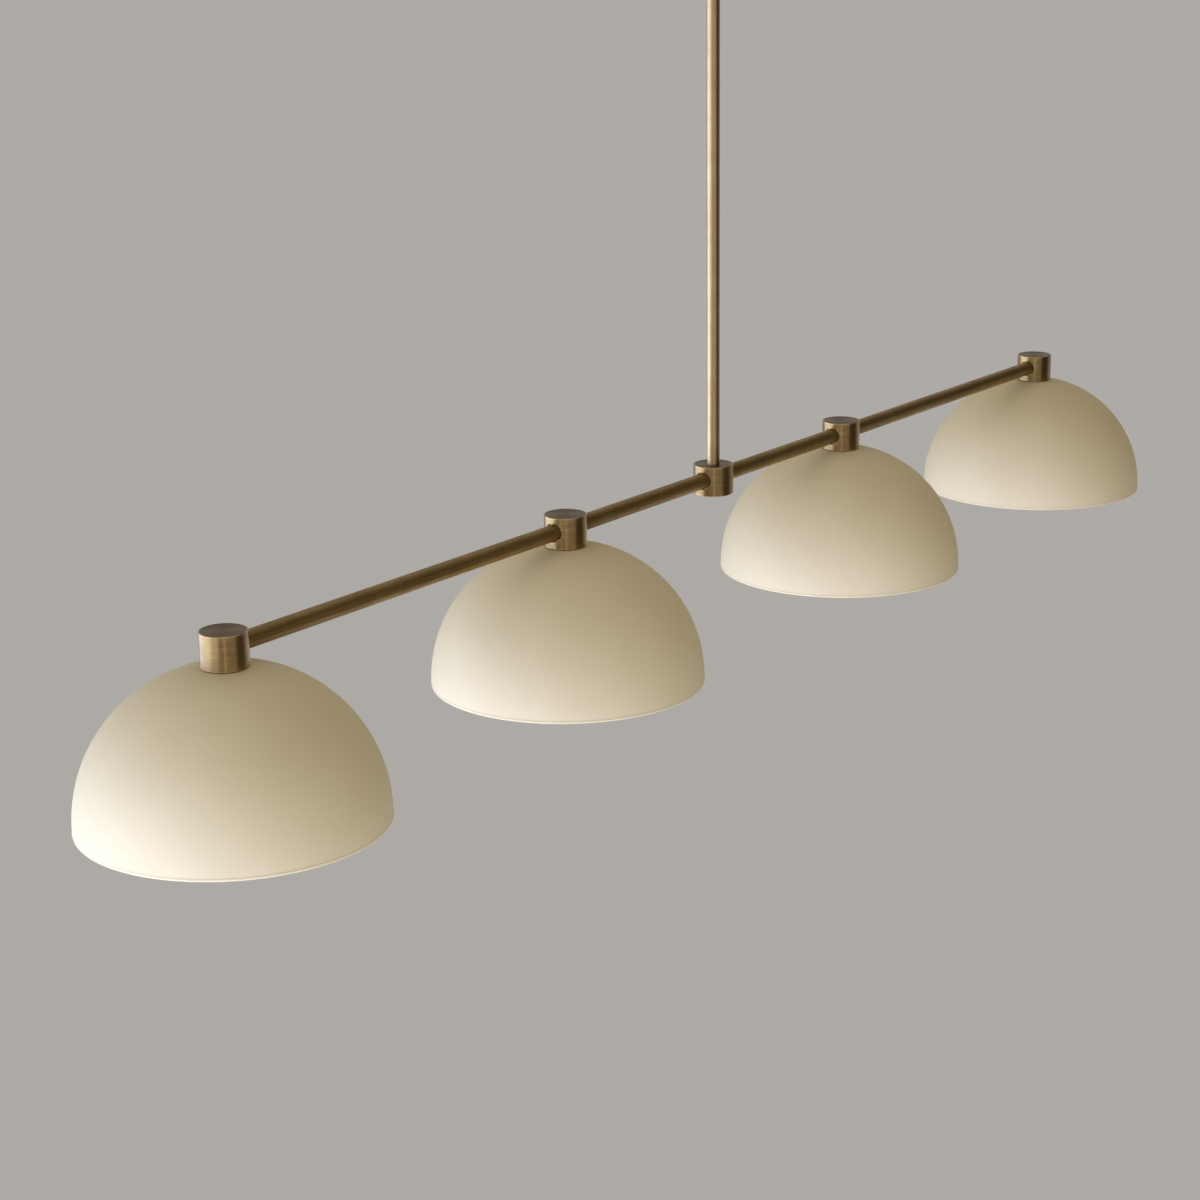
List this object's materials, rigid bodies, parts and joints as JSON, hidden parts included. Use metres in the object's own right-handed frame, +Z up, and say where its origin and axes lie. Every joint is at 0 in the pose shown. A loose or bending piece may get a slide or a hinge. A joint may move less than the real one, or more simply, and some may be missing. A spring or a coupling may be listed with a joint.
{
  "type": "linear island pendant",
  "caption": "Ceiling pendant: a drop rod hangs a long round bar that carries dome shades on turned knuckles, with plug-in bulbs inside and a canopy cup above.",
  "frame": {"origin": "middle of the ceiling plate's upper face, on the drop rod's axis", "axes": "+Z up into the ceiling, +X along the bar"},
  "size_m": [1.265, 0.201, 0.8642],
  "materials": {
    "turned_brass": "antique brass, brushed round the turned body",
    "bar_brass": "dark antique brass, brushed along the bar",
    "rod_brass": "satin brass, drawn along the rod",
    "shade_paint": "matt ivory paint, fine and even",
    "zinc_steel": "zinc plated",
    "black_steel": "black oxide",
    "plain_brass": "plain machined brass",
    "black_fibre": "black fibre washer",
    "terminal_plastic": "moulded, natural white",
    "white_ceramic": "unpainted steatite",
    "frosted_glass": "frosted capsule"
  },
  "bodies": {
    "ceiling_fixing": {"ceiling_plate": "zinc_steel", "swivel_bracket": "zinc_steel", "plate_screws": "zinc_steel", "terminal_block": "terminal_plastic", "terminal_screws": "plain_brass"},
    "stem_and_bar": {"swivel_spindle": "zinc_steel", "swivel_upper_washer": "plain_brass", "swivel_lower_washer": "plain_brass", "swivel_nut": "zinc_steel", "rod_jam_nut": "zinc_steel", "drop_rod": "rod_brass", "hub": "turned_brass", "hub_plug": "turned_brass", "hub_grub_screws": "black_steel", "bar_left": "bar_brass", "bar_right": "bar_brass"},
    "canopy_set": {"canopy": "turned_brass", "canopy_collar": "turned_brass", "collar_grub_screw": "black_steel"},
    "head_1": {"knuckle_1": "turned_brass", "knuckle_grub_screw_1": "black_steel", "crown_washer_1": "black_fibre", "shade_1": "shade_paint", "shade_washer_1": "zinc_steel", "shade_nut_1": "zinc_steel", "nipple_1": "zinc_steel", "lamp_cup_1": "turned_brass", "lamp_holder_1": "white_ceramic"},
    "plug_in_bulb_1": {"bulb_1": "frosted_glass"},
    "head_2": {"knuckle_2": "turned_brass", "knuckle_grub_screw_2": "black_steel", "crown_washer_2": "black_fibre", "shade_2": "shade_paint", "shade_washer_2": "zinc_steel", "shade_nut_2": "zinc_steel", "nipple_2": "zinc_steel", "lamp_cup_2": "turned_brass", "lamp_holder_2": "white_ceramic"},
    "plug_in_bulb_2": {"bulb_2": "frosted_glass"},
    "head_3": {"knuckle_3": "turned_brass", "knuckle_grub_screw_3": "black_steel", "crown_washer_3": "black_fibre", "shade_3": "shade_paint", "shade_washer_3": "zinc_steel", "shade_nut_3": "zinc_steel", "nipple_3": "zinc_steel", "lamp_cup_3": "turned_brass", "lamp_holder_3": "white_ceramic"},
    "plug_in_bulb_3": {"bulb_3": "frosted_glass"},
    "head_4": {"knuckle_4": "turned_brass", "knuckle_grub_screw_4": "black_steel", "crown_washer_4": "black_fibre", "shade_4": "shade_paint", "shade_washer_4": "zinc_steel", "shade_nut_4": "zinc_steel", "nipple_4": "zinc_steel", "lamp_cup_4": "turned_brass", "lamp_holder_4": "white_ceramic"},
    "plug_in_bulb_4": {"bulb_4": "frosted_glass"}
  },
  "joints": [
    {"name": "bar_swivel", "type": "hinge", "parent": "ceiling_fixing", "child": "stem_and_bar", "pos_m": [0, 0, -0.0132], "axis": [0, 0, 1], "range_deg": [-165, 165]},
    {"name": "canopy_slide", "type": "slide", "parent": "stem_and_bar", "child": "canopy_set", "axis": [0, 0, -1], "range_m": [0, 0.15]},
    {"name": "head_1_tilt", "type": "hinge", "parent": "stem_and_bar", "child": "head_1", "pos_m": [-0.532, 0, -0.75], "axis": [1, 0, 0], "range_deg": [-45, 45]},
    {"name": "bulb_1_pull", "type": "slide", "parent": "head_1", "child": "plug_in_bulb_1", "axis": [0, 0, -1], "range_m": [0, 0.017]},
    {"name": "head_2_tilt", "type": "hinge", "parent": "stem_and_bar", "child": "head_2", "pos_m": [-0.188, 0, -0.75], "axis": [1, 0, 0], "range_deg": [-45, 45]},
    {"name": "bulb_2_pull", "type": "slide", "parent": "head_2", "child": "plug_in_bulb_2", "axis": [0, 0, -1], "range_m": [0, 0.017]},
    {"name": "head_3_tilt", "type": "hinge", "parent": "stem_and_bar", "child": "head_3", "pos_m": [0.188, 0, -0.75], "axis": [1, 0, 0], "range_deg": [-45, 45]},
    {"name": "bulb_3_pull", "type": "slide", "parent": "head_3", "child": "plug_in_bulb_3", "axis": [0, 0, -1], "range_m": [0, 0.017]},
    {"name": "head_4_tilt", "type": "hinge", "parent": "stem_and_bar", "child": "head_4", "pos_m": [0.532, 0, -0.75], "axis": [1, 0, 0], "range_deg": [-45, 45]},
    {"name": "bulb_4_pull", "type": "slide", "parent": "head_4", "child": "plug_in_bulb_4", "axis": [0, 0, -1], "range_m": [0, 0.017]}
  ]
}
